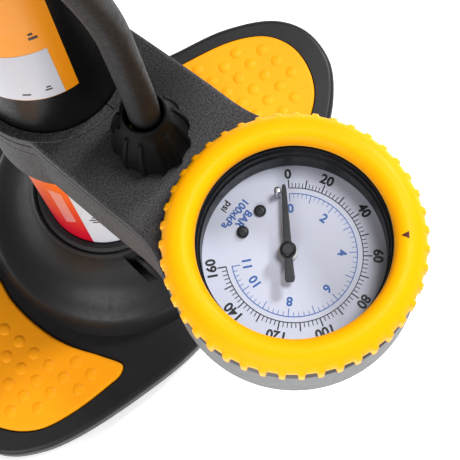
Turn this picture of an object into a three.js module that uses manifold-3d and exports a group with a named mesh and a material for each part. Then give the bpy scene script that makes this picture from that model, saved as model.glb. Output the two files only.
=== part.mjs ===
// Hand-operated floor pump with a pressure gauge on an arm. Millimetres, +Z up, gauge towards -Y.
import * as THREE from "three";
import { mergeVertices } from "three/addons/utils/BufferGeometryUtils.js";
import Module from "manifold-3d";

const wasm = await Module();
wasm.setup();
const { Manifold, Mesh } = wasm;

// ---- Driving dimensions ----
const AXIS_Y = 39.2; // barrel axis, measured from the middle of the footprint
const GAP = 0.3; // clearance between neighbours
const TUBE_R = 23.8; // barrel, outside
const TUBE_WALL = 1.2;
const TUBE_TOP = 600;
const INNER_R = 20.4; // inner cylinder, outside
const INNER_WALL = 1.2;
const PLATE_TOP = 13;
const BOSS_TOP = 49.5;
const ARM_BOTTOM = 153;
const ARM_TOP = 200;
const ARM_BACK_R = 27.2;
const GAUGE_Y = -98; // gauge axis, from the barrel axis
const CASE_R = 39.3;
const TEETH = 43;
const TEETH_R = 40;
const WINDOW_R = 29.3;
const DIAL_TOP = 192.1;
const NUT_Y = -42.6;
const NUT_TOP = 227.5;
const HOSE_R = 4.8;
const LEG_X = 40; // the two hose legs stand this far to each side
const LEG_Y = -34;
const ARCH_Z = 560;
const CHUCK_TOP = 370;
const HANDLE_Z = 640;
const GRIP_END = 112;
const FACETS = 0.5; // share of the listed segments that round parts keep
const TUBE_SEGMENTS = 56; // nested round parts share a count, so their flats stay parallel
const CASE_SEGMENTS = 56;

// ---- Colours ----
const BLACK = { color: 0x1b1b1c, roughness: 0.45, metalness: 0 };
const GLOSS_BLACK = { color: 0x111112, roughness: 0.15, metalness: 0 };
const DARK_GREY = { color: 0x38383a, roughness: 0.8, metalness: 0 };
const RUBBER = { color: 0x242425, roughness: 0.85, metalness: 0 };
const YELLOW = { color: 0xffc40c, roughness: 0.4, metalness: 0 };
const LABEL_YELLOW = { color: 0xe09a12, roughness: 0.3, metalness: 0 };
const RED = { color: 0xd2402a, roughness: 0.3, metalness: 0 };
const WHITE = { color: 0xdcdde4, roughness: 0.5, metalness: 0 };
const CLEAR = { color: 0xf2f6f8, roughness: 0.05, metalness: 0 };
const STEEL = { color: 0xc8cacc, roughness: 0.25, metalness: 1 };
const CASE_GREY = { color: 0x8e9092, roughness: 0.4, metalness: 0.8 };
const BRASS = { color: 0xc9a552, roughness: 0.3, metalness: 1 };

// ---- Shape helpers ----
// Volume inside a surface, negative when its faces point inwards.
function signedVolume(geometry) {
  const p = geometry.attributes.position;
  const index = geometry.index.array;
  const [a, b, c] = [new THREE.Vector3(), new THREE.Vector3(), new THREE.Vector3()];
  let six = 0;
  for (let i = 0; i < index.length; i += 3) {
    a.fromBufferAttribute(p, index[i]);
    b.fromBufferAttribute(p, index[i + 1]);
    c.fromBufferAttribute(p, index[i + 2]);
    six += a.dot(b.cross(c));
  }
  return six / 6;
}

// A solid for cutting and joining, made from any closed geometry.
function solid(geometry) {
  const bare = new THREE.BufferGeometry();
  const source = geometry.index ? geometry.toNonIndexed() : geometry;
  bare.setAttribute("position", source.getAttribute("position"));
  const merged = mergeVertices(bare, 1e-3);
  const index = merged.index.array;
  const kept = [];
  for (let i = 0; i < index.length; i += 3) {
    const [a, b, c] = [index[i], index[i + 1], index[i + 2]];
    if (a !== b && b !== c && a !== c) kept.push(a, b, c);
  }
  merged.setIndex(kept);
  if (signedVolume(merged) < 0) {
    for (let i = 0; i < kept.length; i += 3) [kept[i + 1], kept[i + 2]] = [kept[i + 2], kept[i + 1]];
  }
  return new Manifold(
    new Mesh({
      numProp: 3,
      vertProperties: new Float32Array(merged.attributes.position.array),
      triVerts: new Uint32Array(kept),
    }),
  );
}

function geometryOf(manifold) {
  const mesh = manifold.getMesh();
  const points = new Float32Array(mesh.numVert * 3);
  for (let i = 0; i < mesh.numVert; i++) {
    for (let k = 0; k < 3; k++) points[3 * i + k] = mesh.vertProperties[i * mesh.numProp + k];
  }
  const geometry = new THREE.BufferGeometry();
  geometry.setAttribute("position", new THREE.BufferAttribute(points, 3));
  geometry.setIndex(new THREE.BufferAttribute(new Uint32Array(mesh.triVerts), 1));
  return geometry;
}

const joined = (...parts) => parts.reduce((whole, part) => whole.add(part));
const cut = (body, ...tools) => tools.reduce((whole, tool) => whole.subtract(tool), body);

const facets = (n) => Math.max(12, 2 * Math.round((n * FACETS) / 2));

// A body turned about +Z from [radius, height] pairs.
function turned(profile, segments = 40, x = 0, y = 0) {
  const points = profile.map(([r, z]) => new THREE.Vector2(r, z));
  const onAxis = profile[0][0] === 0 && profile[profile.length - 1][0] === 0;
  if (!onAxis) points.push(points[0].clone());
  const geometry = new THREE.LatheGeometry(points, facets(segments));
  geometry.rotateX(Math.PI / 2);
  geometry.translate(x, y, 0);
  return solid(geometry);
}

const disc = (r, z0, z1, x = 0, y = 0, segments = 32) =>
  turned([[0, z0], [r, z0], [r, z1], [0, z1]], segments, x, y);

const ring = (rIn, rOut, z0, z1, x = 0, y = 0, segments = 40) =>
  turned([[rIn, z0], [rOut, z0], [rOut, z1], [rIn, z1]], segments, x, y);

// A round bar along X or Y, from one end to the other.
function bar(axis, r, from, to, across, z, segments = 28) {
  const geometry = new THREE.CylinderGeometry(r, r, to - from, facets(segments));
  if (axis === "x") geometry.rotateZ(Math.PI / 2).translate((from + to) / 2, across, z);
  else geometry.translate(across, (from + to) / 2, z);
  return solid(geometry);
}

function box(x0, x1, y0, y1, z0, z1) {
  const geometry = new THREE.BoxGeometry(x1 - x0, y1 - y0, z1 - z0);
  geometry.translate((x0 + x1) / 2, (y0 + y1) / 2, (z0 + z1) / 2);
  return solid(geometry);
}

// A flat outline raised from z0 to z1, with an optional rounded rim.
function raised(outline, z0, z1, rim = 0, rimSteps = 2) {
  const shape = new THREE.Shape(outline.map(([x, y]) => new THREE.Vector2(x, y)));
  const geometry = new THREE.ExtrudeGeometry(shape, {
    depth: z1 - z0 - 2 * rim,
    bevelEnabled: rim > 0,
    bevelThickness: rim,
    bevelSize: rim,
    bevelOffset: -rim,
    bevelSegments: rimSteps,
    steps: 1,
  });
  geometry.translate(0, 0, z0 + rim);
  return solid(geometry);
}

// Evenly spread points on a smooth closed curve through the given ones.
function smooth(points, count) {
  const curve = new THREE.CatmullRomCurve3(
    points.map(([x, y]) => new THREE.Vector3(x, y, 0)),
    true,
    "centripetal",
  );
  return curve.getSpacedPoints(count).slice(0, count).map((p) => [p.x, p.y]);
}

// An arc of points about (0, cy), angles in degrees.
function arc(r, from, to, steps, cy = 0) {
  return Array.from({ length: steps + 1 }, (_, i) => {
    const a = THREE.MathUtils.degToRad(from + ((to - from) * i) / steps);
    return [r * Math.cos(a), cy + r * Math.sin(a)];
  });
}

const part = new THREE.Group();
part.name = "portable_tire_inflator";

function add(name, body, look) {
  const geometry = geometryOf(body);
  geometry.translate(0, AXIS_Y, 0);
  geometry.computeVertexNormals();
  const mesh = new THREE.Mesh(geometry, new THREE.MeshStandardMaterial(look));
  mesh.name = name;
  part.add(mesh);
}

const mirrored = (outline) => outline.map(([x, y]) => [-x, y]).reverse();

// ---- Base ----
const RIGHT_RIM = [
  [26, -65.5], [53, -60], [84, -50], [99, -42], [110, -31], [114.5, -15],
  [110, -1], [93, 14], [68, 26], [49, 36.5], [32, 50], [13, 58.5],
];
const RIGHT_PAD = [
  [50, -46.5], [54, -48.5], [61, -47.5], [79, -43], [93, -36.5], [101, -27], [104.5, -15],
  [101.5, -3], [90, 8], [68, 18.5], [58, 22.5], [54.5, 20], [58, 8], [59.5, -6], [58, -22], [52.5, -37],
];

const padOutline = () => smooth(RIGHT_PAD, 30);

// The pocket in the front of the boss, under the arm, with a thin rib near each end.
function frontPocket() {
  return cut(
    box(-17.9, 17.9, -42, -20, 29.5, 60),
    disc(30, 29, 61, 0, 0, 56),
    box(-14.6, -13.4, -43, -20, 29, 38),
    box(13.4, 14.6, -43, -20, 29, 38),
  );
}

function basePlate() {
  const rim = smooth([...RIGHT_RIM, ...mirrored(RIGHT_RIM)], 56);
  const boss = turned([
    [0, 3.6], [56, 3.6], [56, 12], [53.6, 19], [52, 22.6], [49, 24.6],
    [44, 27.2], [38.5, 31.5], [33.6, 38], [31, 44], [29.6, BOSS_TOP], [0, BOSS_TOP],
  ], 56);
  const recess = padOutline();
  const pocket = smooth([[66, -38], [96, -26], [104, -14], [98, 0], [66, 14], [64, -12]], 16);
  return cut(
    joined(raised(rim, 3, PLATE_TOP, 2, 2), boss),
    disc(TUBE_R + GAP, 16, 60, 0, 0, TUBE_SEGMENTS),
    ring(20, 28.2, 43.5, 60, 0, 0, TUBE_SEGMENTS),
    frontPocket(),
    raised(recess, 10.5, 20),
    raised(mirrored(recess), 10.5, 20),
    raised(pocket, 2, 7.5),
    raised(mirrored(pocket), 2, 7.5),
    disc(3.3, 0, 20),
    disc(7.4, 0, 8),
    ...FEET.map(([x, y]) => disc(9.3, 2, 4.3, x, y, 24)),
  );
}

const FEET = [[88, -24], [-88, -24], [30, 24], [-30, 24], [0, -48]];

// A closed outline moved inwards by a distance.
function inset(outline, by) {
  const area = outline.reduce((sum, [x, y], i) => {
    const [u, v] = outline[(i + 1) % outline.length];
    return sum + x * v - u * y;
  }, 0);
  const turn = Math.sign(area);
  return outline.map(([x, y], i) => {
    const [px, py] = outline.at(i - 1);
    const [nx, ny] = outline[(i + 1) % outline.length];
    const length = Math.hypot(nx - px, ny - py);
    return [x - (turn * by * (ny - py)) / length, y + (turn * by * (nx - px)) / length];
  });
}

const footPad = (outline) => raised(inset(outline, 0.5), 10.8, 14.6, 0.9, 2);

add("base_plate", basePlate(), BLACK);
add("foot_pad_right", footPad(padOutline()), YELLOW);
add("foot_pad_left", footPad(mirrored(padOutline())), YELLOW);
FEET.forEach(([x, y], i) => add(`base_foot_${i + 1}`, disc(9, 0, 4, x, y, 24), RUBBER));
add("base_bolt", turned([[0, 3.6], [6.8, 3.6], [6.8, 7.7], [3, 7.7], [3, 26], [0, 26]], 24), STEEL);
add("boss_ring", ring(TUBE_R + GAP, 27.9, 43.8, 50.4, 0, 0, TUBE_SEGMENTS), RUBBER);

// ---- Barrel ----
const PORT_Z = 178;

function barrelTube() {
  return cut(
    ring(TUBE_R - TUBE_WALL, TUBE_R, 16.3, TUBE_TOP, 0, 0, TUBE_SEGMENTS),
    bar("y", 4.3, -30, -15, 0, PORT_Z, 20),
  );
}

function basePlug() {
  return cut(
    turned([[0, 16.6], [22.3, 16.6], [22.3, 24], [18.9, 24], [18.9, 38], [0, 38]], 40),
    disc(3.3, 10, 28, 0, 0, 24),
    disc(6, 32, 40, 0, 0, 24),
    bar("y", 2.2, 0, 30, 0, 30.4, 16),
    disc(2.2, 30.4, 36, 0, 0, 16),
  );
}

// A label that wraps part of the tube; angles run anticlockwise from +X.
function label(from, to, z0, z1) {
  const outside = arc(TUBE_R + 0.35, from, to, 28);
  const inside = arc(TUBE_R + 0.1, to, from, 28);
  return raised([...outside, ...inside], z0, z1);
}

function barrelCap() {
  return turned([
    [7, 612], [7, 616], [22, 616], [26, 613.5], [27, 610], [27, 584], [26, 580],
    [TUBE_R + GAP, 580], [TUBE_R + GAP, TUBE_TOP + GAP], [10.3, TUBE_TOP + GAP], [10.3, 612],
  ], TUBE_SEGMENTS);
}

add("barrel_tube", barrelTube(), GLOSS_BLACK);
add("inner_cylinder", ring(INNER_R - INNER_WALL, INNER_R, 24.3, 594, 0, 0, 48), STEEL);
add("base_plug", basePlug(), DARK_GREY);
add("check_valve_disc", disc(5.6, 32.3, 34.2, 0, 0, 24), RUBBER);
add("lower_label", label(150, 390, 51, 146.5), RED);
add("barrel_label", label(103, 257, 232, 312), LABEL_YELLOW);
add("barrel_cap", barrelCap(), BLACK);
add("rod_bush", ring(6.3, 10, 598, 611.7, 0, 0, 32), WHITE);

// ---- Piston, rod and handle ----
function piston() {
  return turned([
    [0, 44], [18.7, 44], [18.7, 49.7], [16, 49.7], [16, 54.3], [18.7, 54.3], [18.7, 60],
    [15, 62], [0, 62],
  ], 40);
}

function handleBar() {
  const hub = turned([
    [0, 622], [13, 622], [15, 624], [15.6, 634], [15.6, 648], [13.5, 653.5], [0, 655],
  ], 40);
  return cut(
    joined(hub, bar("x", 9, -108, 108, 0, HANDLE_Z, 28)),
    disc(6.3, 620, 643, 0, 0, 32),
    disc(2.6, 640, 660, 0, 0, 20),
    disc(5.6, 650, 660, 0, 0, 24),
  );
}

// One hand grip: a sleeve with a flange at its inner end and a closed outer end.
function grip(side) {
  const profile = [
    [9.3, 18], [16.8, 18], [17.6, 20], [17.4, 22.4], [15, 24.5], [14, 40], [15.2, 65], [14.4, 90],
    [15.7, 106], [13.4, 111], [9, GRIP_END], [0, GRIP_END], [0, 108.3], [9.3, 108.3],
  ];
  const points = profile.map(([r, x]) => new THREE.Vector2(r, x));
  points.push(points[0].clone());
  const geometry = new THREE.LatheGeometry(points, 18);
  geometry.rotateZ(side > 0 ? -Math.PI / 2 : Math.PI / 2);
  geometry.translate(0, 0, HANDLE_Z);
  return solid(geometry);
}

add("piston", piston(), DARK_GREY);
add("piston_seal", ring(16.3, 18.95, 50, 54), RUBBER);
add("piston_nut", turned([[0, 39.4], [7, 39.4], [7, 43.7], [0, 43.7]], 6), STEEL);
add("piston_rod", cut(disc(6, 62.3, 642, 0, 0, 32), disc(2.4, 600, 650, 0, 0, 20)), STEEL);
add("rod_bumper", ring(6.3, 13, 63, 71, 0, 0, 32), RUBBER);
add("handle_bumper", ring(6.6, 13.5, 616.3, 621.7, 0, 0, 32), RUBBER);
add("handle_bar", handleBar(), BLACK);
add("grip_right", grip(1), DARK_GREY);
add("grip_left", grip(-1), DARK_GREY);
add("handle_screw", turned([[0, 628], [2, 628], [2, 650.3], [5.2, 650.3], [5.2, 653], [0, 653.6]], 24), STEEL);

// ---- Arm ----
function armOutline(inset = 0) {
  const sides = [[24, -13], [24.6, -26], [25.2, -44], [25.6, -58], [27.5, -66], [31, -72]];
  const right = sides.map(([x, y]) => [x - inset, y]);
  const back = arc(ARM_BACK_R - inset, -20, 200, 30);
  return [...back, ...mirrored(right).reverse(), [-20, -80], [20, -80], ...right.reverse()];
}

function armHousing() {
  const outer = raised(armOutline(), ARM_BOTTOM, ARM_TOP, 1.2, 2);
  return cut(
    joined(outer, turned([[TUBE_R, 148], [25.8, 148], [ARM_BACK_R, 150], [ARM_BACK_R, 160], [TUBE_R, 160]], 48)),
    disc(TUBE_R + GAP, 140, 210, 0, 0, TUBE_SEGMENTS),
    disc(CASE_R + GAP, 140, 210, 0, GAUGE_Y, CASE_SEGMENTS),
    box(-18, 18, -54, -28.5, 150, 194),
    bar("y", 4.3, -30, -20, 0, PORT_Z, 20),
    bar("y", 5.2, -70, -50, 0, 185, 24),
    disc(5.3, 190, 205, 0, NUT_Y, 24),
  );
}

const COVER_SCREWS = [[-13, -32.5], [13, -50]];

function armCover() {
  return cut(
    joined(box(-17.7, 17.7, -53.7, -28.8, 153.6, 156.6), box(-11, 11, -52, -31, 156, 165.6)),
    ...COVER_SCREWS.map(([x, y]) => disc(1.8, 150, 168, x, y, 16)),
    ...COVER_SCREWS.map(([x, y]) => disc(3.5, 150, 154.8, x, y, 16)),
  );
}

function screw(x, y) {
  return turned([[0, 152.8], [3.2, 152.8], [3.2, 154.5], [1.5, 154.5], [1.5, 164], [0, 164]], 16, x, y);
}

// The block that links the barrel port, the gauge stem and the hose.
function airBlock() {
  return cut(
    box(-12, 12, -52, -30.4, 168, 191),
    bar("y", 2, -45, -20, 0, PORT_Z, 16),
    bar("y", 2, -60, -42, 0, 185, 16),
    disc(2, 176, 200, 0, NUT_Y, 16),
  );
}

add("arm_housing", armHousing(), DARK_GREY);
add("arm_cover", armCover(), DARK_GREY);
COVER_SCREWS.forEach(([x, y], i) => add(`arm_screw_${i + 1}`, screw(x, y), STEEL));
add("air_block", airBlock(), BRASS);
add("port_nipple", cut(bar("y", 4, -30.1, -21.4, 0, PORT_Z, 20), bar("y", 2, -40, -10, 0, PORT_Z, 16)), BRASS);

// ---- Hose nut and barb ----
function hoseNut() {
  const cone = turned([
    [0, 200.3], [11, 200.3], [11.4, 202.5], [11.3, 206], [10.4, 212], [9, 218],
    [7.9, 222.5], [7.1, 224.6], [6.9, 227], [6.4, NUT_TOP], [0, NUT_TOP],
  ], 48, 0, NUT_Y);
  const ribs = [];
  for (let i = 0; i < 12; i++) {
    const rib = new THREE.BoxGeometry(1.8, 5, 22);
    rib.rotateX(THREE.MathUtils.degToRad(-13));
    rib.translate(0, 8.7, 211.4);
    rib.rotateZ((i * 2 * Math.PI) / 12 - 0.035);
    rib.translate(0, NUT_Y, 0);
    ribs.push(solid(rib));
  }
  return cut(
    joined(cone, ...ribs.map((rib) => rib.intersect(disc(12.4, 200.3, 222, 0, NUT_Y, 40)))),
    disc(7.7, 199, 217.5, 0, NUT_Y, 28),
    disc(5.7, 217, 230, 0, NUT_Y, 28),
  );
}

function hoseBarb() {
  return cut(
    turned([
      [0, 191.3], [5, 191.3], [5, 200.6], [7.4, 200.6], [7.4, 206], [3.4, 206], [3.4, 209],
      [4.2, 210], [3.4, 214], [4.2, 215], [3.4, 220], [3.4, 221.4], [0, 221.4],
    ], 24, 0, NUT_Y),
    disc(1.8, 190, 224, 0, NUT_Y, 16),
  );
}

add("hose_nut", hoseNut(), BLACK);
add("hose_barb", hoseBarb(), BRASS);

// ---- Gauge ----
const gaugeRing = (rIn, rOut, z0, z1, segments = 56) => ring(rIn, rOut, z0, z1, 0, GAUGE_Y, segments);

function gaugeCase() {
  return cut(
    turned([
      [0, 168], [34, 168], [37.5, 169.6], [CASE_R, 173.5], [CASE_R, 200.5], [38.2, 201.8],
      [35.4, 201.8], [35.4, 208.2], [0, 208.2],
    ], CASE_SEGMENTS, 0, GAUGE_Y),
    disc(31.3, 171, 212, 0, GAUGE_Y, CASE_SEGMENTS),
    bar("y", 5.2, GAUGE_Y + 20, GAUGE_Y + 50, 0, 185, 24),
  );
}

function bezel() {
  const rim = turned([
    [35.7, 202.4], [38.2, 202.4], [38.3, 205.2], [39.2, 207.6], [39.3, 209.6], [38.2, 212.3], [35.8, 214.3],
    [32.9, 214.8], [30.5, 214.1], [WINDOW_R, 211.8], [WINDOW_R, 210], [31.8, 209.5], [31.8, 208.6], [35.7, 208.6],
  ], 80, 0, GAUGE_Y);
  const tooth = new THREE.Shape();
  tooth.moveTo(37.4, -1.3);
  tooth.lineTo(TEETH_R, -0.9);
  tooth.lineTo(TEETH_R, 0.9);
  tooth.lineTo(37.4, 1.3);
  tooth.closePath();
  let whole = rim;
  for (let i = 0; i < TEETH; i++) {
    const one = new THREE.ExtrudeGeometry(tooth, { depth: 8.2, bevelEnabled: false });
    one.rotateZ(((i + 0.45) * 2 * Math.PI) / TEETH);
    one.translate(0, GAUGE_Y, 202.4);
    whole = whole.add(solid(one));
  }
  return whole;
}

function lensRing() {
  return turned([
    [28.2, 192.4], [31, 192.4], [31, 207], [29.4, 207], [29.4, 204.6], [28.8, 204.6],
    [28.8, 201.4], [28.2, 201.4],
  ], 56, 0, GAUGE_Y);
}

const DIAL_SCREWS = [[4.25, 16.7], [-4.25, 16.7]];
const NEEDLE = [-0.7, GAUGE_Y + 1.8]; // the pointer turns about a point a little off the printed scale's centre
const REST_ANGLE = 42; // the pointer at rest, degrees from +X

function dial() {
  return cut(
    disc(31, DIAL_TOP - 1.1, DIAL_TOP, 0, GAUGE_Y, 56),
    disc(1.9, 185, 200, ...NEEDLE, 20),
    ...DIAL_SCREWS.map(([x, y]) => disc(1.3, 185, 200, x, GAUGE_Y + y, 16)),
  );
}

function dialScrew(x, y) {
  return turned([
    [0, 187.4], [1, 187.4], [1, 192.4], [1.9, 192.4], [1.9, 193.2], [1.5, 193.5], [0, 193.5],
  ], 20, x, GAUGE_Y + y);
}

function pointer() {
  const shape = new THREE.Shape();
  shape.moveTo(-10, -1.45);
  shape.lineTo(0, -1.05);
  shape.lineTo(19.9, -0.75);
  shape.lineTo(20.7, 0);
  shape.lineTo(19.9, 0.75);
  shape.lineTo(0, 1.05);
  shape.lineTo(-10, 1.45);
  shape.closePath();
  const needle = new THREE.ExtrudeGeometry(shape, { depth: 0.7, bevelEnabled: false });
  needle.rotateZ(THREE.MathUtils.degToRad(REST_ANGLE));
  needle.translate(...NEEDLE, 196);
  return joined(solid(needle), turned([[0, 195.2], [2.4, 195.2], [2.4, 197.6], [1.9, 198.2], [0, 198.2]], 24, ...NEEDLE));
}

function stopPeg() {
  const a = THREE.MathUtils.degToRad(REST_ANGLE + 6.4);
  return disc(1.1, 192.4, 199.2, NEEDLE[0] + 18.3 * Math.cos(a), NEEDLE[1] + 18.3 * Math.sin(a), 16);
}

// The curved pressure tube inside the case, flattened and bent into an open ring.
function bourdonTube() {
  return raised(
    [...arc(24.2, 68, -170, 40), ...arc(21.8, -170, 68, 40)].map(([x, y]) => [x, y + GAUGE_Y]),
    176.5,
    183.5,
  );
}

function movementFrame() {
  const plate = joined(
    disc(12.5, 178, 180.4, 0, GAUGE_Y, 32),
    disc(12.5, 184.8, 187, 0, GAUGE_Y, 32),
    box(-11, -7, GAUGE_Y - 3, GAUGE_Y + 3, 179, 186),
    box(7, 11, GAUGE_Y - 3, GAUGE_Y + 3, 179, 186),
  );
  return cut(
    joined(plate, box(-7, 7, GAUGE_Y + 8, GAUGE_Y + 20, 184.8, 187)),
    disc(1.3, 176, 190, ...NEEDLE, 16),
    disc(3, 170.5, 179, 0, GAUGE_Y, 20),
  );
}

function gaugeStem() {
  return cut(
    joined(
      bar("y", 4.9, GAUGE_Y + 27, -52.3, 0, 185, 24),
      box(-6, 6, GAUGE_Y + 21.5, GAUGE_Y + 29.5, 175.5, 189.9),
    ),
    bar("y", 2, GAUGE_Y + 26, -40, 0, 185, 16),
  );
}

add("gauge_case", gaugeCase(), CASE_GREY);
add("gauge_bezel", bezel(), YELLOW);
add("lens_ring", lensRing(), GLOSS_BLACK);
add("gauge_lens", disc(31, 207.3, 209.1, 0, GAUGE_Y, 56), CLEAR);
add("gauge_dial", dial(), WHITE);
DIAL_SCREWS.forEach(([x, y], i) => add(`dial_screw_${i + 1}`, dialScrew(x, y), BLACK));
add("pointer", pointer(), BLACK);
add("pointer_arbor", disc(0.95, 180.6, 194.9, ...NEEDLE, 16), STEEL);
add("dial_bush", ring(1.3, 3, 192.4, 193.8, ...NEEDLE, 24), WHITE);
add("stop_peg", stopPeg(), STEEL);
add("bourdon_tube", bourdonTube(), BRASS);
add("movement_frame", movementFrame(), BRASS);
add("gauge_stem", gaugeStem(), BRASS);

// ---- Hose ----
const ROUTE = [
  [0, NUT_Y, 221.7], [0.3, -42.2, 236], [1.1, -39.9, 251], [1.6, -37.9, 267], [1.5, -36.6, 282],
  [-1, -35.3, 305], [-7.5, -34.7, 340], [-19, -34.6, 382], [-31, -34.3, 425], [-38.5, -34.1, 468],
  [-LEG_X, LEG_Y, 505], [-LEG_X, LEG_Y, 535],
];

// The hose's centreline, from the nut up over the arch and down to the chuck.
function hoseRoute() {
  const points = ROUTE.map(([x, y, z]) => new THREE.Vector3(x, y, z));
  for (let i = 0; i <= 12; i++) {
    const a = Math.PI - (i * Math.PI) / 12;
    points.push(new THREE.Vector3(LEG_X * Math.cos(a), LEG_Y, ARCH_Z + LEG_X * Math.sin(a)));
  }
  for (const z of [530, 495, 460, 425, 395, CHUCK_TOP + GAP]) points.push(new THREE.Vector3(LEG_X, LEG_Y, z));
  return new THREE.CatmullRomCurve3(points, false, "centripetal");
}

function hose() {
  const section = new THREE.Shape();
  section.absarc(0, 0, HOSE_R, 0, 2 * Math.PI, false);
  const geometry = new THREE.ExtrudeGeometry(section, {
    steps: 42,
    curveSegments: 4,
    bevelEnabled: false,
    extrudePath: hoseRoute(),
  });
  return solid(geometry);
}

// ---- Holders on the barrel ----
// A clamp round the barrel with open jaws for the legs at the given sides.
function holder(z0, z1, sides, jawIn, jawOut) {
  let body = ring(TUBE_R, 27.2, z0, z1, 0, 0, 48);
  for (const side of sides) {
    body = joined(
      body,
      disc(jawOut, z0, z1, side * LEG_X, LEG_Y, 32),
      raised([[15.5 * side, -20], [36 * side, -39], [41 * side, -28], [22.5 * side, -12]], z0, z1),
    );
  }
  for (const side of sides) {
    const mouth = jawIn * 0.78;
    body = cut(
      body,
      disc(jawIn, z0 - 1, z1 + 1, side * LEG_X, LEG_Y, 32),
      box(side * LEG_X - mouth, side * LEG_X + mouth, LEG_Y - jawOut - 2, LEG_Y, z0 - 1, z1 + 1),
    );
  }
  return cut(body, disc(TUBE_R + GAP, z0 - 1, z1 + 1, 0, 0, TUBE_SEGMENTS));
}

// ---- Valve chuck on the hose end ----
const HEAD_Z = 286;

function chuckBody() {
  const grip = turned([
    [0, 290], [8.6, 290], [9.6, 310], [8.8, 332], [7.8, 336], [7.8, 350], [8.6, 353], [8.6, 356], [0, 356],
  ], 32, LEG_X, LEG_Y);
  const head = bar("y", 11, LEG_Y - 17, LEG_Y + 13, LEG_X, HEAD_Z, 32);
  const ears = box(LEG_X - 8, LEG_X + 8, LEG_Y + 10, LEG_Y + 20, HEAD_Z - 6, HEAD_Z + 6);
  return cut(
    joined(grip, head, ears),
    bar("y", 6.3, LEG_Y - 20, LEG_Y - 3, LEG_X, HEAD_Z, 24),
    box(LEG_X - 4.3, LEG_X + 4.3, LEG_Y + 13.3, LEG_Y + 24, HEAD_Z - 9, HEAD_Z + 12),
    bar("x", 1.7, LEG_X - 12, LEG_X + 12, LEG_Y + 16.5, HEAD_Z, 16),
  );
}

function chuckLever() {
  const side = [
    [13.6, 0], [14.4, -2.1], [16.5, -3], [18.6, -2.1], [19.6, 0], [19.6, 4], [16.8, 10], [15.6, 22],
    [17, 40], [19, 47], [17.6, 48.6], [15.4, 46], [13.4, 38], [12.6, 22], [13.6, 10],
  ];
  const shape = new THREE.Shape(side.map(([y, z]) => new THREE.Vector2(y + LEG_Y, z + HEAD_Z)));
  const geometry = new THREE.ExtrudeGeometry(shape, { depth: 8, bevelEnabled: false });
  // The outline lies in the YZ plane; its depth runs along X.
  const turn = new THREE.Matrix4().set(0, 0, 1, LEG_X - 4, 1, 0, 0, 0, 0, 1, 0, 0, 0, 0, 0, 1);
  geometry.applyMatrix4(turn);
  return cut(solid(geometry), bar("x", 1.7, LEG_X - 12, LEG_X + 12, LEG_Y + 16.5, HEAD_Z, 16));
}

function chuckGasket() {
  return cut(
    bar("y", 6, LEG_Y - 12, LEG_Y - 3.3, LEG_X, HEAD_Z, 24),
    bar("y", 3.9, LEG_Y - 22, LEG_Y, LEG_X, HEAD_Z, 20),
  );
}

function chuckCap() {
  return cut(
    joined(
      bar("y", 6, LEG_Y - 18, LEG_Y - 12.3, LEG_X, HEAD_Z, 24),
      bar("y", 10.4, LEG_Y - 21, LEG_Y - 17.3, LEG_X, HEAD_Z, 32),
    ),
    bar("y", 4.3, LEG_Y - 24, LEG_Y, LEG_X, HEAD_Z, 20),
  );
}

add("hose", hose(), RUBBER);
add("hose_holder", holder(520, 534, [-1, 1], HOSE_R + GAP, 8), BLACK);
add("chuck_holder", holder(337, 349, [1], 8.1, 11), BLACK);
add("hose_ferrule", turned([[0, 356.3], [7.2, 356.3], [7.2, 367], [6.4, CHUCK_TOP], [0, CHUCK_TOP]], 28, LEG_X, LEG_Y), STEEL);
add("chuck_body", chuckBody(), BLACK);
add("chuck_lever", chuckLever(), YELLOW);
add("chuck_pin", bar("x", 1.4, LEG_X - 8, LEG_X + 8, LEG_Y + 16.5, HEAD_Z, 16), STEEL);
add("chuck_gasket", chuckGasket(), RUBBER);
add("chuck_cap", chuckCap(), DARK_GREY);

export default part;
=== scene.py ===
"""Hand-operated floor pump with a pressure gauge: the visual model.

The CAD model's frame is used throughout: +Z up, gauge towards -Y. The builders below take
millimetres measured from the barrel's axis, and `at` turns them into metres in that frame.
"""

import math

import bmesh
import bpy
from mathutils import Matrix, Vector


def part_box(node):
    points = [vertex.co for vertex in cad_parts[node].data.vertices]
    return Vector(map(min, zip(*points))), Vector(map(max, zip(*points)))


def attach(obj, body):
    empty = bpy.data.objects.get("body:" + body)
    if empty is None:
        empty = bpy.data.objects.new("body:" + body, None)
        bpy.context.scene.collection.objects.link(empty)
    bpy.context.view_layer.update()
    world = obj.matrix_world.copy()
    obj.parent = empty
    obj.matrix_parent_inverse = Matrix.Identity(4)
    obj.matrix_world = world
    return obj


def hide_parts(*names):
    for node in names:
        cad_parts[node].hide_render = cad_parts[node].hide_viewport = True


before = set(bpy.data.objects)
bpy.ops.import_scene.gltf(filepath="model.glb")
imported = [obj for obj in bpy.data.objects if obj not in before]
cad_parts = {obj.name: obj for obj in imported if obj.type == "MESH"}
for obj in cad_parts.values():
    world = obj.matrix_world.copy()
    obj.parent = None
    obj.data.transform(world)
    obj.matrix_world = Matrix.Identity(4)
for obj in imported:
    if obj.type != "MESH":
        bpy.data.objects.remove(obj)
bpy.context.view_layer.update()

MM = 0.001
tube_low, tube_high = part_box("barrel_tube")
AXIS_Y = (tube_low.y + tube_high.y) / 2 / MM
GAP = 0.3  # the clearance between neighbouring pieces

# Base and barrel
PLATE_TOP = 13.0
BOSS_TOP = 49.5
TUBE_R = 23.8
TUBE_TOP = 600.0
BAND_R = 27.2  # the arm's round back and the holders' bands
UPPER_LABEL = (232, 312)
LOWER_LABEL = (51, 146.5)
HANDLE_Z = 640.0

# Arm, hose and chuck
ARM_BOTTOM = 153.0
ARM_TOP = 200.0
NUT_Y = -42.6
HOSE_R = 4.8
LEG_X = 40.0  # the hose's two legs stand this far to each side of the barrel
LEG_Y = -34.0
ARCH_Z = 560.0
CHUCK_TOP = 370.0
HEAD_Z = 286.0
PIN_Y = LEG_Y + 16.5

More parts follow.
